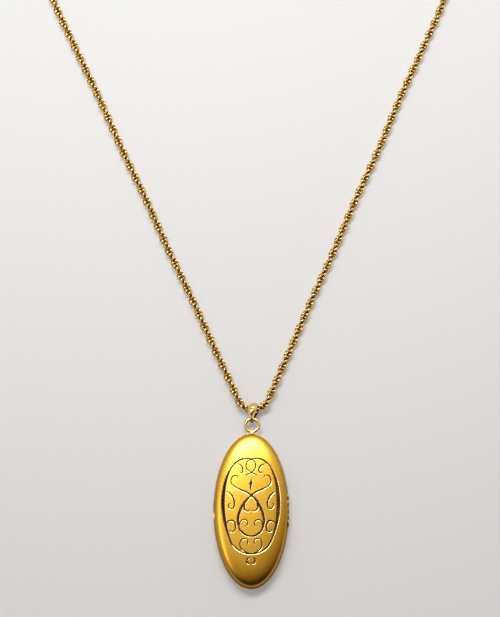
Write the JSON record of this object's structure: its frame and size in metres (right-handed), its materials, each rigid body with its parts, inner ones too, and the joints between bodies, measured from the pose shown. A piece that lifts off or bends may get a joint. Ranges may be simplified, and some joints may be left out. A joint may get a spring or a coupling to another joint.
{
  "type": "locket",
  "caption": "Oval gold photo locket with a satin engraved cover, side hinge, ring and bail, on a rope chain that closes with a spring ring clasp.",
  "frame": {"origin": "middle of the flat oval panel on the locket's back, which rests on the ground", "axes": "+Y along the locket towards its suspension ring, +Z out of the engraved face, +X to the right of someone looking at the face"},
  "size_m": [0.1134, 0.2294, 0.005],
  "materials": {
    "satin_gold": "satin bloomed gold",
    "inner_gold": "bright gold, lightly aged",
    "bright_gold": "polished gold",
    "pin_gold": "worn gold",
    "solder_gold": "rose gold solder",
    "chain_gold": "polished gold rope",
    "spring_steel": "spring wire",
    "clear_sheet": "clear sheet",
    "photo_paper": "blank card"
  },
  "bodies": {
    "necklace": {"rope_chain": "chain_gold", "end_cap_left": "bright_gold", "end_cap_right": "bright_gold", "jump_ring": "bright_gold", "tag_ring": "bright_gold", "clasp_body": "bright_gold", "clasp_spring": "spring_steel"},
    "clasp_trigger": {"clasp_gate": "bright_gold"},
    "bail": {"bail": "bright_gold"},
    "locket_back": {"back_cover": "satin_gold", "snap_rim": "inner_gold", "hinge_knuckle_1_back": "satin_gold", "hinge_knuckle_3_back": "satin_gold", "hinge_knuckle_5_back": "satin_gold", "hinge_pin": "pin_gold", "suspension_ring": "bright_gold", "ring_solder_seat": "solder_gold", "back_photo_frame": "inner_gold", "back_window": "clear_sheet", "back_photo_card": "photo_paper"},
    "cover": {"front_cover": "satin_gold", "hinge_knuckle_2_cover": "satin_gold", "hinge_knuckle_4_cover": "satin_gold", "front_photo_frame": "inner_gold", "front_window": "clear_sheet", "front_photo_card": "photo_paper"}
  },
  "joints": [
    {"name": "bail_swing", "type": "hinge", "parent": "necklace", "child": "bail", "pos_m": [0.00055, 0.02595, 0.00185], "axis": [1, 0, 0], "range_deg": [-80, 80]},
    {"name": "locket_swing", "type": "hinge", "parent": "bail", "child": "locket_back", "pos_m": [0.00025, 0.02357, 0.002], "axis": [1, 0, 0], "range_deg": [-75, 75]},
    {"name": "cover_hinge", "type": "hinge", "parent": "locket_back", "child": "cover", "pos_m": [0.0093, 0, 0.00243], "axis": [0, 1, 0], "range_deg": [0, 150]},
    {"name": "clasp_trigger_slide", "type": "hinge", "parent": "necklace", "child": "clasp_trigger", "pos_m": [0, 0.206, 0.0013], "axis": [0, 0, 1], "range_deg": [0, 50], "stiffness_Nm_per_rad": 0.0008, "springref_deg": -20.05, "deforming": ["clasp_spring"]}
  ]
}
